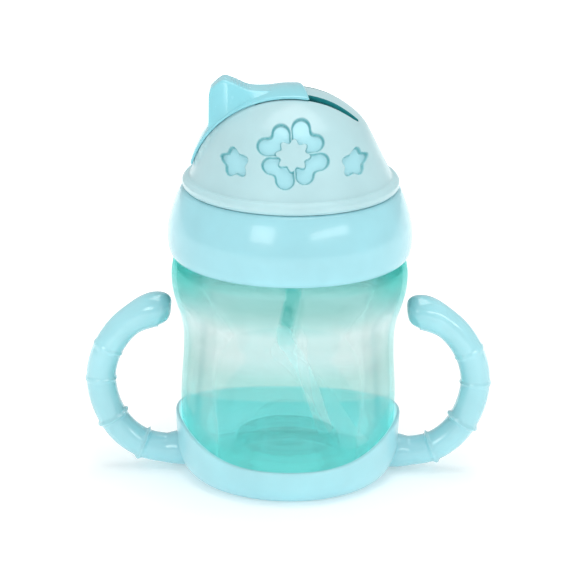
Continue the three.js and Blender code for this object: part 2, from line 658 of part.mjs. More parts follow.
const left = handle(-1);
const right = handle(1);
add('base_holder', baseHolder().subtract(left.socket).subtract(right.socket), COLOURS.holder);
add('left_handle', left.piece, COLOURS.handle);
add('right_handle', right.piece, COLOURS.handle);
add('bottle', bottle(), COLOURS.bottle, 0.08);
add('screw_collar', collar(), COLOURS.collar);
add('sealing_gasket', gasket(), COLOURS.silicone, 0.6);
add('lid_base', lidBase(), COLOURS.shell);
add('inner_shell', innerShell(), COLOURS.shell);
add('dome_cover', domeCover(), COLOURS.cover);
add('slider', slider(), COLOURS.slider);
add('spout_base', spoutBase(), COLOURS.silicone, 0.6);
add('spout_tip', spoutTip(), COLOURS.silicone, 0.6);
add('upper_straw', hose(UPPER_STRAW, STRAW_R, STRAW_BORE_R, 12), COLOURS.straw, 0.5);
add('straw_joint', hose(STRAW_LINK, SPIGOT_R - 0.1, SPIGOT_BORE_R, 4), COLOURS.silicone, 0.5);
add('lower_straw', hose(LOWER_STRAW, STRAW_R, STRAW_BORE_R, 14), COLOURS.straw, 0.5);
add('vent_valve', ventValve(), COLOURS.silicone, 0.6);

export default cup;
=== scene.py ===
"""Straw training cup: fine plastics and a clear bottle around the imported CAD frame.
Lengths in the helpers are millimetres, turned to metres when a mesh is made. +Z is up and the front is -Y."""
import math

import bmesh
import bpy
import numpy as np
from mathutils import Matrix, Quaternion, Vector


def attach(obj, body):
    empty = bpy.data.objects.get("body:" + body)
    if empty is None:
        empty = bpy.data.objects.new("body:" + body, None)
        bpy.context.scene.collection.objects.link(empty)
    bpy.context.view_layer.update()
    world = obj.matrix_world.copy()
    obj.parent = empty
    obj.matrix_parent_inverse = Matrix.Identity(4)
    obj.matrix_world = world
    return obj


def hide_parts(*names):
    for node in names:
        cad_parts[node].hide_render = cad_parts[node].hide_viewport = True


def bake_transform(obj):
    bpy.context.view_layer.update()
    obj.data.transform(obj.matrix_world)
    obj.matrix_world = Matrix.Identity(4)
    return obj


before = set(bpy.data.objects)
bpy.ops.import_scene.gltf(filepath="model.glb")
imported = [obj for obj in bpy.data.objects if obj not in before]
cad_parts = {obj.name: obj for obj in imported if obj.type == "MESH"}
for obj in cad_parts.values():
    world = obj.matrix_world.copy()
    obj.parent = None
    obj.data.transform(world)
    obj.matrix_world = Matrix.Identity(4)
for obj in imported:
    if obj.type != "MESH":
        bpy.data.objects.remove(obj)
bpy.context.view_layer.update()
MM = 0.001
TURN = 2 * math.pi

# ---- Colours, in sRGB ----

HOLDER = (172, 229, 239)
HANDLE = (166, 224, 233)
COLLAR = (159, 217, 227)
COVER = (180, 217, 222)
SHELL = (150, 218, 228)
SLIDER = (140, 214, 226)
# painted shade: dark teal for the deep slits and window, put on their cut walls
SLOT_SHADE = (30, 150, 156)
# painted reflection: the teal bottle reflected in the handle bulbs
BULB_REFLECTION = (112, 212, 222)
# painted light: the glow colour of the holder's inner face
INNER_PAINTED_GLOW = (180, 226, 228)
RECESS_FLOOR = (170, 230, 240)
# painted shade: the dark line round the cut-outs' walls
RECESS_EDGE_SHADE = (62, 160, 168)
# painted shade: stands in for refraction through the bottle's thick shoulder corners
BOTTLE_CORNER_SHADE = (150, 226, 221)
# tint stops by height; the grey band from 0.44 to 0.61 is a painted reflection of the pale surroundings
BOTTLE_TINTS_AND_REFLECTION = [(0.0, (236, 253, 251)), (0.17, (234, 252, 250)), (0.24, (236, 248, 247)),
                (0.3, (240, 246, 245)), (0.44, (230, 240, 238)), (0.52, (244, 246, 246)),
                (0.61, (244, 246, 246)), (0.66, (220, 238, 237)), (0.71, (200, 228, 226)),
                (0.8, (186, 224, 222))]
SILICONE = (228, 242, 242)
STRAW_TOP = (120, 222, 216)
STRAW_LOW = (225, 246, 246)


def linear(rgb):
    """A linear RGBA colour from 0 to 255 sRGB."""
    parts = [c / 255 for c in rgb]
    return tuple(c / 12.92 if c < 0.04045 else ((c + 0.055) / 1.055) ** 2.4 for c in parts) + (1.0,)


def scaled(rgb, factor):
    """A colour made lighter or darker, kept under 255."""
    return tuple(min(255, c * factor) for c in rgb)


# ---- Materials ----


class Graph:
    """A material's node graph with short calls for the nodes used here."""

    def __init__(self, name):
        self.material = bpy.data.materials.new(name)
        self.material.use_nodes = True
        self.nodes = self.material.node_tree.nodes
        self.links = self.material.node_tree.links
        self.shader = self.nodes["Principled BSDF"]
        self.place = self.nodes.new("ShaderNodeTexCoord").outputs["Object"]

    def set(self, **values):
        for key, value in values.items():
            self.shader.inputs[key.replace("_", " ")].default_value = value

    def link(self, source, target):
        self.links.new(source, target)

    def add(self, kind, operation=None):
        node = self.nodes.new("ShaderNode" + kind)
        if operation:
            node.operation = operation
        return node

    def noise(self, scale, detail=2.0):
        node = self.add("TexNoise")
        node.inputs["Scale"].default_value = scale
        node.inputs["Detail"].default_value = detail
        self.link(self.place, node.inputs["Vector"])
        return node.outputs["Fac"]

    def remap(self, source, low, high, start=0.0, end=1.0):
        """Maps start to end in the source onto low to high, clamped."""
        node = self.add("MapRange")
        node.inputs["From Min"].default_value = start
        node.inputs["From Max"].default_value = end
        node.inputs["To Min"].default_value = low
        node.inputs["To Max"].default_value = high
        self.link(source, node.inputs["Value"])
        return node.outputs["Result"]

    def ramp(self, source, stops):
        node = self.add("ValToRGB")
        elements = node.color_ramp.elements
        while len(elements) < len(stops):
            elements.new(0.5)
        for element, (at, colour) in zip(elements, stops):
            element.position = at
            element.color = colour
        self.link(source, node.inputs["Fac"])
        return node.outputs["Color"]

    def blend(self, factor, first, second):
        node = self.add("Mix")
        node.data_type = "RGBA"
        self.link(factor, node.inputs["Factor"])
        for socket, value in ((node.inputs["A"], first), (node.inputs["B"], second)):
            if isinstance(value, tuple):
                socket.default_value = value
            else:
                self.link(value, socket)
        return node.outputs["Result"]

    def bump(self, source, distance, strength=0.3):
        node = self.add("Bump")
        node.inputs["Strength"].default_value = strength
        node.inputs["Distance"].default_value = distance
        self.link(source, node.inputs["Height"])
        self.link(node.outputs["Normal"], self.shader.inputs["Normal"])


def moulded(name, rgb, roughness=0.28, depth=0.1, coat=0.35, spread=0.02):
    """Glossy translucent plastic: faint flow mottling, a fine mould grain and slightly uneven gloss."""
    g = Graph(name)
    darker, lighter = linear(scaled(rgb, 1 - spread)), linear(scaled(rgb, 1 + spread))
    colour = g.ramp(g.noise(55, 3), [(0.3, darker), (0.7, lighter)])
    g.link(colour, g.shader.inputs["Base Color"])
    g.link(g.remap(g.noise(320, 4), roughness - 0.05, roughness + 0.07), g.shader.inputs["Roughness"])
    g.bump(g.noise(1500, 2), 0.00002, 0.12)
    g.set(IOR=1.49, Subsurface_Weight=depth, Subsurface_Scale=0.004, Coat_Weight=coat, Coat_Roughness=0.08)
    g.shader.inputs["Subsurface Radius"].default_value = (0.6, 1.0, 1.0)
    return g


def silicone(name, rgb):
    """Soft matt silicone with a fine grain."""
    g = Graph(name)
    colour = g.ramp(g.noise(80, 3), [(0.3, linear(scaled(rgb, 0.97))), (0.7, linear(scaled(rgb, 1.02)))])
    g.link(colour, g.shader.inputs["Base Color"])
    g.link(g.remap(g.noise(500, 3), 0.42, 0.58), g.shader.inputs["Roughness"])
    g.bump(g.noise(2200, 2), 0.00002, 0.2)
    g.set(IOR=1.41, Subsurface_Weight=0.5, Subsurface_Scale=0.004)
    return g


def see_through(g, tint, share):
    """Lets that share of the light straight through the shader, tinted."""
    clear = g.add("BsdfTransparent")
    g.link(tint, clear.inputs["Color"])
    mix = g.add("MixShader")
    mix.inputs["Fac"].default_value = share
    g.link(g.shader.outputs["BSDF"], mix.inputs[1])
    g.link(clear.outputs["BSDF"], mix.inputs[2])
    g.link(mix.outputs["Shader"], g.nodes["Material Output"].inputs["Surface"])


def clear_bottle():
    """Tinted clear plastic; the tint follows the height, its grey middle band is a painted reflection, and
    painted shade deepens it in the shoulder's corners in place of refraction through the thick wall.
    """
    g = Graph("clear tinted plastic")
    parts = g.add("SeparateXYZ")
    g.link(g.place, parts.inputs["Vector"])
    sideways = g.add("Math", "ABSOLUTE")
    g.link(parts.outputs["X"], sideways.inputs[0])
    corner = g.add("Math", "MULTIPLY")
    g.link(g.remap(sideways.outputs[0], 0.0, 1.0, 0.026, 0.035), corner.inputs[0])
    g.link(g.remap(parts.outputs["Z"], 0.0, 1.0, 0.066, 0.077), corner.inputs[1])
    share_up = g.remap(parts.outputs["Z"], 0.0, 1.0, 0.0, 0.1)
    # height tint, with a painted reflection as its grey middle band
    even = g.ramp(share_up, [(at, linear(rgb)) for at, rgb in BOTTLE_TINTS_AND_REFLECTION])
    # painted shade in the shoulder's corners, standing in for refraction
    tint = g.blend(corner.outputs[0], even, linear(BOTTLE_CORNER_SHADE))
    g.link(tint, g.shader.inputs["Base Color"])
    g.link(g.remap(g.noise(160, 3), 0.015, 0.05), g.shader.inputs["Roughness"])
    g.bump(g.noise(70, 2), 0.00012, 0.12)
    g.set(IOR=1.33, Transmission_Weight=1.0)
    see_through(g, tint, 0.72)
    depth = g.add("VolumeAbsorption")
    depth.inputs["Color"].default_value = (0.07, 0.8, 0.79, 1)
    depth.inputs["Density"].default_value = 25
    g.link(depth.outputs["Volume"], g.nodes["Material Output"].inputs["Volume"])
    return g


def straw_plastic(name, rgb, painted_glow):
    """Thin milky plastic that passes most of the light on, with a painted glow in its own colour."""
    g = moulded(name, rgb, 0.32, 0.4, 0.1)
    # painted glow: emission in the straw's own colour stands in for light passing through it
    g.set(Emission_Color=linear(rgb), Emission_Strength=painted_glow)
    clear = g.add("RGB")
    clear.outputs[0].default_value = (1, 1, 1, 1)
    see_through(g, clear.outputs[0], 0.8)
    return g


def holder_material():
    """The holder's plastic; its inner face has a painted glow that stands in for the light coming through the
    thin wall.
    """
    g = moulded("holder plastic", HOLDER, 0.3, 0.3)
    surface = g.add("NewGeometry")
    inward = g.add("VectorMath", "DOT_PRODUCT")
    middle = g.add("VectorMath", "SUBTRACT")
    middle.inputs[0].default_value = (0, 0, 0.014)
    g.link(g.place, middle.inputs[1])
    g.link(middle.outputs[0], inward.inputs[0])
    g.link(surface.outputs["Normal"], inward.inputs[1])
    # painted glow on the inner face, facing the middle of the bowl
    g.link(g.remap(inward.outputs["Value"], 0.0, 0.62, 0.002, 0.014), g.shader.inputs["Emission Strength"])
    g.set(Emission_Color=linear(INNER_PAINTED_GLOW))
    return g.material


holder_plastic = holder_material()
collar_moulding = moulded("collar plastic", COLLAR, 0.2, 0.1, 0.4)
collar_moulding.set(Specular_IOR_Level=0.35)
collar_plastic = collar_moulding.material
shell_plastic = moulded("shell plastic", SHELL, 0.3).material
# painted shade for the cut walls of the slits and window
slot_shade_plastic = moulded("slot painted shade plastic", SLOT_SHADE, 0.35).material
slider_plastic = moulded("slider plastic", SLIDER, 0.24, 0.1, 0.5).material
bottle_plastic = clear_bottle().material
silicone_material = silicone("soft silicone", SILICONE).material
straw_top_material = straw_plastic("upper straw plastic", STRAW_TOP, 0.5).material
straw_low_material = straw_plastic("lower straw plastic", STRAW_LOW, 0.5).material


def handle_material():
    """The holder's plastic, deepened in the bulbs by a painted reflection of the teal bottle."""
    g = moulded("handle plastic", HANDLE, 0.18, 0.1, 0.7)
    base = g.shader.inputs["Base Color"].links[0].from_socket
    distance = g.add("VectorMath", "DISTANCE")
    mirror = g.add("VectorMath", "ABSOLUTE")
    g.link(g.place, mirror.inputs[0])
    g.link(mirror.outputs[0], distance.inputs[0])
    distance.inputs[1].default_value = (0.038, 0, 0.055)
    # painted reflection of the teal bottle, strongest in the bulbs beside it
    bottle_reflection = g.remap(distance.outputs["Value"], 0.55, 0.0, 0.002, 0.016)
    g.link(g.blend(bottle_reflection, base, linear(BULB_REFLECTION)), g.shader.inputs["Base Color"])
    return g.material


def cover_material():
    """Pale cover plastic; the cut-outs' floors are the deeper shell, with painted shade as a darker line at
    their edges.
    """
    g = moulded("cover plastic", COVER, 0.33, 0.1, 0.25)
    base = g.shader.inputs["Base Color"].links[0].from_socket
    masks = []
    for name in ("floor", "edge"):
        node = g.add("Attribute")
        node.attribute_name = name
        masks.append(node.outputs["Fac"])
    inside = g.blend(masks[0], base, linear(RECESS_FLOOR))
    # the edge attribute lays painted shade along the cut-outs' walls
    g.link(g.blend(masks[1], inside, linear(RECESS_EDGE_SHADE)), g.shader.inputs["Base Color"])
    return g.material


# ---- Mesh helpers ----


def piece(name, points, faces, material, body, node=None, angle=38, attributes=None):
    """A mesh object from millimetre points, smooth but for edges sharper than angle, riding on a body."""
    mesh = bpy.data.meshes.new(name)
    mesh.from_pydata([tuple(float(c) * MM for c in p) for p in points], [], faces)
    for key, values in (attributes or {}).items():
        layer = mesh.attributes.new(key, "FLOAT", "POINT")
        layer.data.foreach_set("value", [float(v) for v in values])
    bm = bmesh.new()
    bm.from_mesh(mesh)
    bmesh.ops.remove_doubles(bm, verts=bm.verts, dist=1e-7)
    bmesh.ops.recalc_face_normals(bm, faces=bm.faces)
    bm.to_mesh(mesh)
    bm.free()
    mesh.shade_smooth()
    mesh.set_sharp_from_angle(angle=math.radians(angle))
    obj = bpy.data.objects.new(name, mesh)
    bpy.context.scene.collection.objects.link(obj)
    mesh.materials.append(material)
    if body:
        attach(obj, body)
    if node:
        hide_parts(*node)
    return obj


def grid_faces(rows, columns, closed_rows=False, closed_columns=False):
    """Quads over a grid of points stored row by row."""
    faces = []
    for i in range(rows if closed_rows else rows - 1):
        for j in range(columns if closed_columns else columns - 1):
            k, m = (i + 1) % rows, (j + 1) % columns
            faces.append((i * columns + j, k * columns + j, k * columns + m, i * columns + m))
    return faces


def eased(points, radius, steps=4, closed=False):
    """A polyline with its corners rounded to about that radius."""
    result = []
    count = len(points)
    for i, here in enumerate(points):
        if not closed and i in (0, count - 1):
            result.append(here)
            continue
        a, b, c = (Vector(points[(i + k) % count]) for k in (-1, 0, 1))
        into, out = b - a, c - b
        if into.length < 1e-6 or out.length < 1e-6 or into.angle(out) < 0.15:
            result.append(here)
            continue
        cut = min(radius * math.tan(into.angle(out) / 2), 0.45 * into.length, 0.45 * out.length)
        p, q = b - into.normalized() * cut, b + out.normalized() * cut
        for s in range(steps + 1):
            t = s / steps
            result.append(tuple((1 - t) ** 2 * p + 2 * t * (1 - t) * b + t * t * q))
    return result


def flowing(points, per_span=8):
    """A Catmull-Rom curve through points of any dimension."""
    p = [np.array(q, float) for q in points]
    p = [2 * p[0] - p[1]] + p + [2 * p[-1] - p[-2]]
    out = []
    for i in range(1, len(p) - 2):
        for s in range(per_span):
            t = s / per_span
            out.append(0.5 * (2 * p[i] + (p[i + 1] - p[i - 1]) * t
                              + (2 * p[i - 1] - 5 * p[i] + 4 * p[i + 1] - p[i + 2]) * t * t
                              + (3 * p[i] - p[i - 1] - 3 * p[i + 1] + p[i + 2]) * t ** 3))
    out.append(p[-2])
    return [tuple(q) for q in out]


def inset(profile, distance):
    """A profile of (radius, height) that runs outward and down, moved inward."""
    result = []
    for i, (r, z) in enumerate(profile):
        before, after = profile[max(0, i - 1)], profile[min(len(profile) - 1, i + 1)]
        dr, dz = after[0] - before[0], after[1] - before[1]
        length = math.hypot(dr, dz)
        result.append((max(0.0, r + dz / length * distance), z - dr / length * distance))
    return result


def turned(name, profile, material, body, node=None, segments=144, closed=False, angle=38,
           at=(0, 0)):
    """A profile of (radius, height) turned about an upright line."""
    points = []
    for k in range(segments):
        a = TURN * k / segments
        points += [(at[0] + r * math.cos(a), at[1] + r * math.sin(a), z) for r, z in profile]
    faces = grid_faces(segments, len(profile), True, closed)
    return piece(name, points, faces, material, body, node, angle)


def hose(name, centres, radius, material, body, node=None, sides=32, bore=None):
    """A round tube along centres; radius is a number or a function of the share run, bore hollows it."""
    centres = [Vector(c) for c in centres]
    count = len(centres)
    size = radius if callable(radius) else (lambda share: radius)
    rings = []
    tangents = []
    for i in range(count):
        tangents.append((centres[min(count - 1, i + 1)] - centres[max(0, i - 1)]).normalized())
    side = Vector((0, 1, 0)) if abs(tangents[0].y) < 0.9 else Vector((1, 0, 0))
    for i, (centre, tangent) in enumerate(zip(centres, tangents)):
        side = (side - tangent * side.dot(tangent)).normalized()
        other = tangent.cross(side)
        rings.append((centre, side.copy(), other))
    points = []

    def ring(i, r):
        centre, u, v = rings[i]
        for k in range(sides):
            a = TURN * k / sides
            points.append(centre + u * (r * math.cos(a)) + v * (r * math.sin(a)))

    for i in range(count):
        ring(i, size(i / (count - 1)))
    rows = count
    if bore:
        for i in reversed(range(count)):
            ring(i, bore)
        rows *= 2
    faces = grid_faces(rows, sides, bool(bore), True)
    if not bore:
        faces += [tuple(range(sides)), tuple(range((count - 1) * sides, count * sides))]
    return piece(name, points, faces, material, body, node)


def carve(obj, cutters):
    """Cuts meshes out of obj for good, and removes them."""
    for cutter in cutters:
        modifier = obj.modifiers.new("cut", "BOOLEAN")
        modifier.object = cutter
        modifier.operation = "DIFFERENCE"
        modifier.solver = "EXACT"
        # the cut walls take the cutter's material, the dark painted shade of the slits
        modifier.material_mode = "TRANSFER"
    graph = bpy.context.evaluated_depsgraph_get()
    mesh = bpy.data.meshes.new_from_object(obj.evaluated_get(graph), preserve_all_data_layers=True,
                                           depsgraph=graph)
    obj.modifiers.clear()
    obj.data = mesh
    mesh.shade_smooth()
    mesh.set_sharp_from_angle(angle=math.radians(38))
    for cutter in cutters:
        bpy.data.objects.remove(cutter)


# ---- Base holder ----

HOLDER_FLOOR = 2.0
HOLDER_WALL = 1.5
RIM_FRONT = 12.9
RIM_BACK = 16.3
RIM_SIDE = 22.4
LIP = 0.75
BOWL_H = 13.0
FOOT_R = 31.2
FOOT_HOLLOW = [(0, 0.8), (26.6, 0.8), (27.0, 0.6), (27.6, 0.0)]
BOWL_R = 38.9


def rim_height(angle):
    """The rim's height at an angle from the front: low at the front and the back, high at the sides."""
    back = (1 - math.cos(angle)) / 2
    low = RIM_FRONT + (RIM_BACK - RIM_FRONT) * back
    power = 3.8 + (2.1 - 3.8) * back
    return low + (RIM_SIDE - low) * (math.sin(angle) ** 2 + 1e-5) ** (power / 2)


def bowl(z, foot_r, foot_z):
    """The radius of a bowl corner that stands on foot_r at foot_z and ends upright at BOWL_H."""
    rise = min(1.0, max(0.0, (BOWL_H - z) / (BOWL_H - foot_z)))
    return foot_r + (BOWL_R - FOOT_R) * math.sqrt(max(0.0, 1 - rise * rise))


def holder_outer(z):
    """The radius of the holder's outside at a height."""
    return bowl(z, FOOT_R, 0) if z < BOWL_H else BOWL_R + 0.5 * (z - BOWL_H) / (RIM_SIDE - BOWL_H)


def holder_inner(z):
    """The radius of the holder's inside at a height."""
    return bowl(z, FOOT_R - HOLDER_WALL, HOLDER_FLOOR) if z < BOWL_H else holder_outer(z) - HOLDER_WALL


def base_holder():
    """The bowl with its boat-shaped rim: one profile for each angle, cut off at that angle's rim height."""
    segments = 240
    low = [0.0, 0.25, 0.8, 1.6, 2.8, 4.2, 6.0, 8.0]
    points = []
    for k in range(segments):
        angle = TURN * k / segments
        under_lip = rim_height(angle) - LIP
        wall = [low[-1] + (under_lip - low[-1]) * s / 12 for s in range(1, 13)]
        outer = [(holder_outer(z), z) for z in low + wall]
        r_out, r_in = holder_outer(under_lip), holder_inner(under_lip)
        lip = [((r_out + r_in) / 2 + (r_out - r_in) / 2 * math.cos(a), under_lip + LIP * math.sin(a))
               for a in [math.pi * s / 8 for s in range(1, 8)]]
        inner = [(holder_inner(z), z) for z in reversed(wall)]
        inner += [(holder_inner(z), z) for z in (8.0, 6.6, 5.2, 4.0, 3.1, 2.5, 2.15, 2.0)]
        profile = FOOT_HOLLOW + outer + lip + inner + [(0, HOLDER_FLOOR)]
        points += [(r * math.sin(angle), -r * math.cos(angle), z) for r, z in profile]
    faces = grid_faces(segments, len(profile), True, False)
    piece("holder_bowl", points, faces, holder_plastic, "holder", ["base_holder"], 50)


base_holder()

# ---- Handles ----

HANDLE_PATH = [(38.2, 6.9), (43.5, 6.9), (51, 8.6), (57.9, 13.5), (62.8, 21), (65.3, 29.6),
               (65.2, 37.4), (62.2, 45.8), (56, 53.5), (47, 58.3), (41.2, 57.2)]
HANDLE_R = 5.2
HANDLE_STEPS = 260
HANDLE_SIDES = 48
ROOT_SINK = 0.5
RIBS = [(0.155, 1.0), (0.335, 0.9), (0.52, 0.4), (0.66, 0.3)]
RIB_SPREAD = 0.0085


def handle_radius(share):
    """The hook's radius along its run: thicker at the root and in the bulb, round at the end, ribbed."""
    def smooth(a, b):
        t = min(1.0, max(0.0, (share - a) / (b - a)))
        return t * t * (3 - 2 * t)
    end = max(0.0, (share - 0.945) / 0.055)
    radius = HANDLE_R + 1.0 * smooth(0.8, 0.93) + 0.8 * (1 - smooth(0.0, 0.07))
    radius *= math.sqrt(max(0.0025, 1 - end * end))
    for place, height in RIBS:
        radius += height * math.exp(-((share - place) / RIB_SPREAD) ** 2)
    return radius


def handle(side, name, material):
    """A hook with even steps along it, whose root is pulled onto the bowl's curve."""
    centres = [(side * x, 0, z) for x, z in flowing(HANDLE_PATH, 24)]
    lengths = np.cumsum([0] + [math.dist(a, b) for a, b in zip(centres, centres[1:])])
    even = np.linspace(0, lengths[-1], HANDLE_STEPS)
    centres = [tuple(np.interp(s, lengths, [c[k] for c in centres]) for k in range(3)) for s in even]
    hook = hose(f"{name}_hook", centres, handle_radius, material, "holder", [f"{name}_handle"],
                HANDLE_SIDES)
    for vertex in hook.data.vertices[:HANDLE_SIDES]:
        reach = (holder_outer(max(0.3, vertex.co.z / MM)) - ROOT_SINK) * MM
        vertex.co.x = side * math.sqrt(reach ** 2 - vertex.co.y ** 2)


handle_plastic = handle_material()
handle(-1, "left", handle_plastic)
handle(1, "right", handle_plastic)

# ---- Bottle ----

BODY = flowing([(37.05, 13), (37.4, 24), (37.5, 30), (37.2, 36.5), (36.75, 44), (36.9, 52), (37.9, 57.5),
                (39.5, 62.8), (40.7, 68), (40.95, 73.4), (40.4, 77.2)], 6)
BOTTLE_WALL = 1.8
BOTTLE_FOOT_R = 29.2
BOTTLE_UNDER_Z = 2.3


def bottle_foot(z, reduce):
    """The radius of the bottle's rounded foot, less reduce for its inner side."""
    rise = (BOWL_H - z) / (BOWL_H - BOTTLE_UNDER_Z)
    return BOTTLE_FOOT_R + (BODY[0][0] - BOTTLE_FOOT_R) * math.sqrt(max(0.0, 1 - rise * rise)) - reduce


def bottle():
    """The whole bottle turned in one: foot and body outside, mouth, body inside, punt."""
    floor = 4.1
    under = [(0, 9.0), (14.6, 10.0), (16.8, 5.3), (21.6, 2.3)]
    foot = [(bottle_foot(z, 0), z) for z in (2.3, 2.5, 3.0, 3.8, 5.0, 6.6, 8.5, 10.6)]
    shoulder = [(39.2, 78.9), (36.6, 79.5), (34.6, 79.8)]
    mouth = [(34.6, 97), (33.0, 97), (33.0, 78.8)]
    inner = [(max(0, r - BOTTLE_WALL), z) for r, z in reversed(BODY[:-3])]
    inner_foot = [(bottle_foot(z - 0.6, BOTTLE_WALL), z) for z in (10.6, 8.5, 6.8, 5.6, 4.8)]
    punt = [(22.6, floor), (18.6, floor + 4), (17.8, 13.2), (12.6, 12.6), (5.0, 11.8), (4.6, 11.0), (0, 11.0)]
    outside = eased(under, 1.2) + foot + BODY + eased(shoulder, 1.0)
    inside = inner + inner_foot + eased(punt, 1.2)
    turned("clear_bottle", outside + mouth + inside, bottle_plastic, "bottle", ["bottle"],
           192, angle=60)


bottle()

# ---- Collar, gasket ----

collar_side = flowing([(40.7, 80.2), (41.5, 81.3), (42.1, 83.5), (42.35, 87), (42.1, 91), (41.3, 94.5),
                       (40.2, 98), (38.9, 101.2), (37.8, 103.2)], 6)
collar_inside = eased([(37.8, 103.2), (36.7, 103.95), (35.4, 103.9), (35.4, 101), (37.4, 101), (37.4, 80.2),
                       (40.7, 80.2)], 0.6, 5)
turned("collar_ring", collar_side + collar_inside[1:-1], collar_plastic, "collar", ["screw_collar"],
       192, True)
gasket_profile = eased([(33.1, 97.3), (35.4, 97.3), (36.4, 98), (35.4, 98.7), (33.1, 98.7)], 0.4, 4, True)
turned("seal_ring", gasket_profile, silicone_material, "gasket", ["sealing_gasket"], 144, True)

# ---- Dome cover and the shell under it ----

PIVOT_Z = 104.0
DOME_TOP_Z = 138.2
DOME = flowing([(0, DOME_TOP_Z), (8, 137.2), (15, 134.7), (21.2, 130.6), (25.2, 126.6), (27.9, 121.9),
                (30.6, 116.3), (32.6, 112.4), (34.5, 108.6)], 16)
LEAF_LENGTH = 34.9
LEAF_WIDTH = 10.0
SLIT_LEFT = -12.6
SLIT_RIGHT = 22.6
SLIT_IN_Y = 5.1
WINDOW_X = -25.7
TRACK_R = 34.25
COVER_WALL = 1.4
SHELL_OUT = 1.7
SHELL_IN = 2.9
RECESS = 1.15
ORNAMENT_REACH = 70
CLOVER_X = 0.6
CLOVER_Z = 122.4
CLOVER_PRESS = 1.18
STARS = [(-19.0, 9, 4.8), (21.5, -6, 4.5)]
STAR_Z = 118.3
STAR_PRESS = 1.08
FAR = 9.0


def leaf_half(x):
    """Half of the slider leaf's width at x."""
    return LEAF_WIDTH * np.sqrt(np.maximum(0.02, 1 - (x / LEAF_LENGTH) ** 2))


def soft_min(a, b, k):
    """The smaller of two distances, blended over a width of k."""
    h = np.clip(0.5 + 0.5 * (b - a) / k, 0, 1)
    return b + (a - b) * h - k * h * (1 - h)


def capsule(x, z, end, start, radius):
    """Signed distance to a round-ended bar."""
    ax, az = start
    bx, bz = end[0] - ax, end[1] - az
    t = np.clip(((x - ax) * bx + (z - az) * bz) / (bx * bx + bz * bz), 0, 1)
    return np.hypot(x - ax - t * bx, z - az - t * bz) - radius


def clover(x, z):
    """Signed distance to four two-lobed petals round a small blossom, negative inside."""
    best = np.full_like(x, 99.0)
    for k in range(4):
        axis = math.radians(52 + 90 * k)
        root = (5.2 * math.cos(axis), 5.2 * math.sin(axis))
        petal = np.full_like(x, 99.0)
        for turn, reach, size in ((-23, 8.4, 3.0), (22, 9.4, 3.1)):
            a = axis + math.radians(turn)
            lobe = capsule(x, z, (reach * math.cos(a), reach * math.sin(a)), root, size)
            petal = soft_min(petal, lobe, 1.6)
        best = np.minimum(best, petal)
    angle = np.arctan2(z, x)
    blossom = np.hypot(x, z) - (5.3 + 0.75 * np.cos(8 * angle + 0.6))
    return np.maximum(best, -blossom)


def star(x, z, lean, reach):
    """Signed distance to a rounded five-pointed star that leans by that many degrees."""
    angle = np.arctan2(z, x) - math.radians(90 + lean)
    return np.hypot(x, z) - reach * (0.86 + 0.14 * np.cos(5 * angle))


def ornament(x, z):
    """Signed distance to the cut-outs as seen from the front."""
    shapes = clover(x - CLOVER_X, (z - CLOVER_Z) * CLOVER_PRESS)
    for star_x, lean, reach in STARS:
        shapes = np.minimum(shapes, star(x - star_x, (z - STAR_Z) * STAR_PRESS, lean, reach))
    return shapes


def plan_cutter(points):
    """An upright prism over a plan outline, tall enough to pass the whole dome."""
    rings = [(x, y, z) for z in (108.4, 160) for x, y in points]
    n = len(points)
    faces = [(i, (i + 1) % n, n + (i + 1) % n, n + i) for i in range(n)]
    faces += [tuple(range(n)), tuple(range(n, 2 * n))]
    # the cutter carries the dark painted shade that its cut walls take over
    return piece("cutter", rings, faces, slot_shade_plastic, None)


def opening_cutters(grow):
    """The two slits for the slider's arms and the window for the spout."""
    left = SLIT_LEFT - grow
    right = SLIT_RIGHT + grow
    xs = [left + (right - left) * t for t in np.linspace(0, 0.95, 24)]
    edge = [(x, float(leaf_half(x)) - 0.4 + grow) for x in xs]
    slit = [(left, SLIT_IN_Y - grow)] + edge + [(right, SLIT_IN_Y + 1.4), (right, SLIT_IN_Y - grow)]
    turns = [TURN * k / 48 for k in range(48)]
    window = [(WINDOW_X + (5.4 + grow) * math.cos(a), (4.6 + grow) * math.sin(a)) for a in turns]
    return [plan_cutter(slit), plan_cutter([(x, -y) for x, y in slit]), plan_cutter(window)]


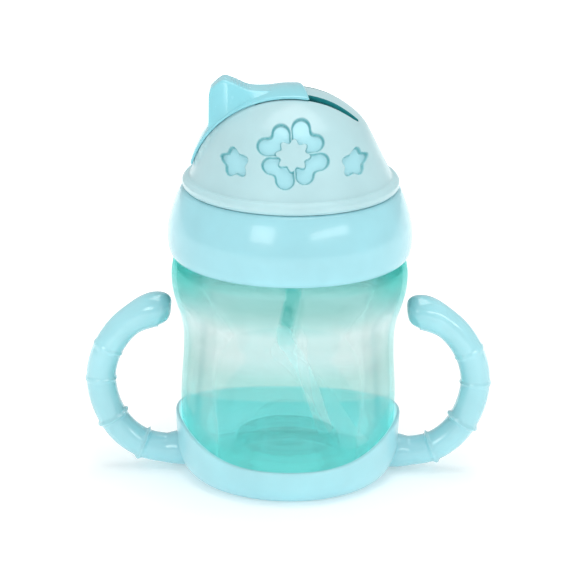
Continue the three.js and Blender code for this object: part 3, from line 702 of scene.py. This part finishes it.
def dome_cover():
    """The cover with its cut-outs sunk in along its normals, the slider's track, and real slits."""
    fine = np.arange(-ORNAMENT_REACH, ORNAMENT_REACH, 0.45)
    coarse = np.arange(ORNAMENT_REACH + 0.1, 289, 2.5)
    azimuths = np.radians(np.concatenate([fine, coarse]))
    lengths = np.cumsum([0] + [math.dist(a, b) for a, b in zip(DOME, DOME[1:])])
    even = np.concatenate([np.linspace(0, 5, 7)[:-1], np.arange(5, lengths[-1], 0.3), [lengths[-1]]])
    outer = [tuple(np.interp(s, lengths, [p[k] for p in DOME]) for k in range(2)) for s in even]
    bead = eased([outer[-1], (34.9, 107.9), (36.3, 107.7), (37.3, 106.6), (37.4, 105.2), (36.7, 104.05),
                  (34.7, 104.05), (34.7, 106.9)], 0.8, 5)[1:]
    inner = list(reversed(inset(DOME, COVER_WALL)))[::5]
    inner = [(r, z) for r, z in inner if r > 0.6] + [(0, DOME_TOP_Z - COVER_WALL)]
    profile = outer + bead + inner
    count = len(outer)
    r = np.array([p[0] for p in profile])
    z = np.array([p[1] for p in profile])
    normal_r = np.zeros_like(r)
    normal_z = np.zeros_like(z)
    dr, dz = np.gradient(r), np.gradient(z)
    length = np.hypot(dr, dz)
    normal_r[:count], normal_z[:count] = (-dz / length)[:count], (dr / length)[:count]
    points, floor, edge = [], [], []
    for a in azimuths:
        distance = np.full_like(r, FAR)
        if abs(a) < math.radians(ORNAMENT_REACH):
            distance[:count] = ornament((r * math.sin(a))[:count], z[:count])
        t = np.clip((0.3 - distance) / 0.6, 0, 1)
        sink = t * t * (3 - 2 * t)
        radius = r - normal_r * RECESS * sink
        height = z - normal_z * RECESS * sink
        x, y = radius * math.sin(a), -radius * math.cos(a)
        track = np.clip((leaf_half(x) - 0.3 - np.abs(y)) / 0.7, 0, 1) * np.clip((-4 - x) / 3, 0, 1)
        track[count:] = 0
        from_pivot = np.sqrt(x * x + y * y + (height - PIVOT_Z) ** 2)
        lift = 1 + np.maximum(0, TRACK_R / from_pivot - 1) * track
        x, y, height = x * lift, y * lift, PIVOT_Z + (height - PIVOT_Z) * lift
        points += list(zip(x, y, height))
        floor += list(np.clip((-0.1 - distance) / 0.3, 0, 1))
        # the edge attribute marks where painted shade lines the cut-outs' walls
        edge += list(np.clip(1 - np.abs(distance + 0.05) / 0.42, 0, 1))
    faces = grid_faces(len(azimuths), len(profile), True, False)
    obj = piece("cover_dome", points, faces, cover_material(), "lid", ["dome_cover"], 55,
                {"floor": floor, "edge": edge})
    carve(obj, opening_cutters(0))


def inner_shell():
    """The thin dome under the cover, with wider slits and window."""
    outer = inset(DOME, SHELL_OUT)[::3]
    outer = [(0, DOME_TOP_Z - SHELL_OUT)] + [(r, z) for r, z in outer if r > 0.6]
    inner = inset(DOME, SHELL_IN)[::3]
    inner = [(r, z) for r, z in reversed(inner) if r > 0.6] + [(0, DOME_TOP_Z - SHELL_IN)]
    outer = [(r, z) for r, z in outer if z > 108.5]
    inner = [(r, z) for r, z in inner if z > 107.5]
    skirt = [(33.2, 106.9), (33.2, 103.6), (32, 103.6), (32, 106.9)]
    obj = turned("shell_dome", outer + skirt + inner, shell_plastic, "lid", ["inner_shell"])
    carve(obj, opening_cutters(0.35))


dome_cover()
inner_shell()

# ---- Slider ----

SLIDER_R = 35.4
SLIDER_UNDER = 34.38


def crowned(radius, angle, y):
    """A point on a ball round the pivot, at an angle in the slider's plane and y aside of it."""
    reach = math.sqrt(radius * radius - y * y)
    return (reach * math.cos(angle), y, PIVOT_Z + reach * math.sin(angle))


def slider_leaf():
    """A thin crowned strip with rounded edges, over the dome's left half and top."""
    rows, across = 110, 26
    middle, half_wall = (SLIDER_R + SLIDER_UNDER) / 2, (SLIDER_R - SLIDER_UNDER) / 2
    points = []
    for i in range(rows):
        u = i / (rows - 1)
        squeeze = math.sqrt(max(0.02, 1 - max(0.0, 1 - min(u, 1 - u) / 0.012) ** 2))
        for k in range(2 * across):
            v = k / across if k < across else 2 - k / across
            layer = 1 if k < across else -1
            v = 0.5 - 0.5 * math.cos(math.pi * v) if 0 < v < 1 else v
            right = math.radians(80 + 6 * v)
            angle = right + (math.radians(168) - right) * u
            half = float(leaf_half(SLIDER_R * math.cos(angle)))
            to_edge = min(v, 1 - v) * 2 * half / 0.5
            thick = half_wall * squeeze * math.sqrt(max(0.0, 1 - max(0.0, 1 - to_edge) ** 2))
            points.append(crowned(middle + layer * thick, angle, (2 * v - 1) * (half - 0.02)))
    columns = 2 * across
    faces = grid_faces(rows, columns, False, True)
    faces += [tuple(range(columns)), tuple(range((rows - 1) * columns, rows * columns))]
    return piece("slider_leaf", points, faces, slider_plastic, "slider", ["slider"], 50)


TAB = flowing([(-28.2, 137.4), (-27.2, 139.0), (-23.6, 141.75), (-20.4, 141.1), (-14.2, 138.6), (-6, 138.5)],
              10)
TAB_HALF = 7.4
TAB_UNDER_R = 34.9
RIB_R = 0.42


def tab_top(x):
    """The height of the tab's crest above x."""
    return float(np.interp(x, [p[0] for p in TAB], [p[1] for p in TAB]))


def tab_half(x):
    """Half of the tab's width at x, which follows the leaf where that is narrower."""
    return min(TAB_HALF, float(leaf_half(x)) - 0.4)


def tab_ribs():
    """Small round ribs across the slope that the thumb pushes."""
    for k in range(5):
        x = -20.3 + 1.25 * k
        half = 0.55 * tab_half(x)
        run = [(x, y, tab_top(x) - 0.1) for y in np.linspace(-half, half, 9)]
        hose(f"slider_rib_{k}", run, lambda share: RIB_R * math.sqrt(max(0.02, 1 - (2 * share - 1) ** 8)),
             slider_plastic, "slider", None, 16)


def thumb_tab():
    """A wedge for the thumb with an upright left face and sloping flanks."""
    rows = 150
    points = []
    for i in range(rows):
        x = -28.3 + 22.3 * i / (rows - 1)
        wide = tab_half(x)
        top = tab_top(x) - (0.9 * (1 - min(1.0, i / 4)) ** 2)
        across = [wide * share for share in (-1, 0.5, 0, -0.5, 1)]
        under = [(y, PIVOT_Z + math.sqrt(TAB_UNDER_R ** 2 - x * x - y * y)) for y in across]
        outline = eased([under[0], (-wide * 0.62, top), (wide * 0.62, top), under[4]], 1.3, 8) + under[1:4]
        points += [(x, y, z) for y, z in outline]
    columns = len(outline)
    faces = grid_faces(rows, columns, False, True)
    faces += [tuple(range(columns)), tuple(range((rows - 1) * columns, rows * columns))]
    piece("slider_tab", points, faces, slider_plastic, "slider", None, 40)


def slider_arms():
    """The two arms through the slits, and the pegs that they turn on."""
    reach = SLIDER_UNDER - 0.3
    arm = [(-3.5, PIVOT_Z - 2), (0, PIVOT_Z - 4), (3.5, PIVOT_Z - 2), (3.6, PIVOT_Z + 2)]
    ends = [math.radians(98), math.radians(108)]
    arm += [(reach * math.cos(a), PIVOT_Z + reach * math.sin(a)) for a in ends]
    arm.append((-4.2, PIVOT_Z + 2))
    for side, name in ((-1, "front"), (1, "back")):
        outline = eased(arm, 1.2, 4, True)
        n = len(outline)
        points = [(x, side * y, z) for y in (5.5, 6.9) for x, z in outline]
        faces = [(i, (i + 1) % n, n + (i + 1) % n, n + i) for i in range(n)]
        faces += [tuple(range(n)), tuple(range(n, 2 * n))]
        piece(f"slider_arm_{name}", points, faces, slider_plastic, "slider", None)
        hose(f"slider_peg_{name}", [(0, side * y, PIVOT_Z) for y in (5.9, 9.5, 9.7)],
             lambda share: 2.4 if share < 0.9 else 2.15, slider_plastic, "slider", None, 36)


slider_leaf()
thumb_tab()
tab_ribs()
slider_arms()

# ---- Spout, straw and valve ----

FOLD = (-15, 0, 111)
TIP_DIRECTION = (math.cos(math.radians(30)), 0, math.sin(math.radians(30)))
tip = [tuple(FOLD[k] + d * TIP_DIRECTION[k] for k in range(3)) for d in (3, 7, 12, 17, 22, 27, 31)]
stem = [(-4, 0, 90), (-4, 0, 97), (-5, 0, 101.5), (-8.6, 0, 106.2), (-12.6, 0, 109.5)]
SPOUT_SIDES = 32
spout = hose("soft_spout", flowing(stem + tip, 10), 4.0, silicone_material, None, None,
             SPOUT_SIDES, 1.6)
straw_path = flowing([(-4, 0, 89.6), (-4, 0, 84), (-1.2, 0, 77.5), (1.4, 0, 71.5), (1.6, 0, 66), (0.5, 0, 60),
                      (-0.2, 0, 57), (-0.9, 0, 53.6)], 8)
hose("straw_upper", straw_path, 2.8, straw_top_material, "lid", ["upper_straw"], 32, 2.3)
lower_path = flowing([(-1, 0, 53.2), (-1.7, 0, 50), (-1.2, 0.3, 47), (1.6, 1.6, 42.6), (5.2, 6, 34.5),
                      (8.2, 11.5, 25.5), (10.8, 17, 15.5), (13.4, 20.6, 6.6)], 8)
hose("straw_lower", lower_path, 2.8, straw_low_material, "lid", ["lower_straw"], 32, 2.3)

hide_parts("spout_base", "spout_tip")
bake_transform(spout)


link_path = flowing([(0.3, 0, 59.2), (-0.35, 0, 56.4), (-1.2, 0, 52.4)], 6)
hose("straw_link", link_path, 1.9, straw_top_material, "lid", ["straw_joint"], 24, 1.2)
valve = [(0, 92.6), (1.4, 92.6), (3.2, 94.4), (3.2, 95.3), (1.9, 95.3), (1.9, 97.5), (5, 97.5), (4.6, 98.5),
         (1.5, 99.2), (0, 99.2)]
turned("vent_plug", eased(valve, 0.35), silicone_material, "lid", ["vent_valve"], 48,
       at=(17, 0))
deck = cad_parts["lid_base"]
deck.data.materials.clear()
deck.data.materials.append(shell_plastic)

# ---- Floor, light and camera ----


def floor():
    """A wide pale floor that glows a little more the farther it is from the cup."""
    mesh = bpy.data.meshes.new("floor")
    mesh.from_pydata([(-3, -3, 0), (3, -3, 0), (3, 3, 0), (-3, 3, 0)], [], [(0, 1, 2, 3)])
    obj = bpy.data.objects.new("floor", mesh)
    bpy.context.scene.collection.objects.link(obj)
    g = Graph("pale floor")
    tone = g.ramp(g.noise(3, 2), [(0.3, linear((250, 250, 250))), (0.7, linear((255, 255, 255)))])
    g.link(tone, g.shader.inputs["Base Color"])
    g.set(Roughness=0.9)
    g.link(tone, g.shader.inputs["Emission Color"])
    reach = g.add("VectorMath", "LENGTH")
    g.link(g.place, reach.inputs[0])
    g.link(g.remap(reach.outputs["Value"], 0.22, 0.75, 0.1, 0.45), g.shader.inputs["Emission Strength"])
    mesh.materials.append(g.material)


def softbox(name, place, target, width, height, watts):
    """A white rectangular light at place that faces target, in metres."""
    light = bpy.data.lights.new(name, "AREA")
    light.shape = "RECTANGLE"
    light.size, light.size_y = width, height
    light.energy = watts
    obj = bpy.data.objects.new(name, light)
    obj.location = place
    obj.rotation_mode = "QUATERNION"
    obj.rotation_quaternion = (Vector(target) - Vector(place)).to_track_quat("-Z", "Y")
    bpy.context.scene.collection.objects.link(obj)


floor()
softbox("left softbox", (-0.40, -0.80, 0.44), (0, 0, 0.09), 0.36, 0.24, 1.15)
softbox("right softbox", (0.53, -0.65, 0.42), (0, 0, 0.09), 0.58, 0.11, 0.85)
softbox("top softbox", (0.05, 0.05, 0.95), (0, 0, 0.07), 0.7, 0.7, 4.0)
world = bpy.data.worlds.new("studio")
bpy.context.scene.world = world
world.use_nodes = True
background = world.node_tree.nodes["Background"]
background.inputs["Color"].default_value = (1, 1, 1, 1)
background.inputs["Strength"].default_value = 0.55
bpy.context.scene.view_settings.view_transform = "Standard"

LENS = 188.4
ROLL = 0.75
camera = bpy.data.cameras.new("camera")
camera.sensor_width = 36
camera.lens = LENS
eye, aim = Vector((0, -1.0, 0.4)), Vector((0.0002, 0, 0.066))
stand = bpy.data.objects.new("camera", camera)
stand.location = eye
stand.rotation_mode = "QUATERNION"
stand.rotation_quaternion = (aim - eye).to_track_quat("-Z", "Y") @ Quaternion((0, 0, 1), math.radians(ROLL))
bpy.context.scene.collection.objects.link(stand)
bpy.context.scene.camera = stand
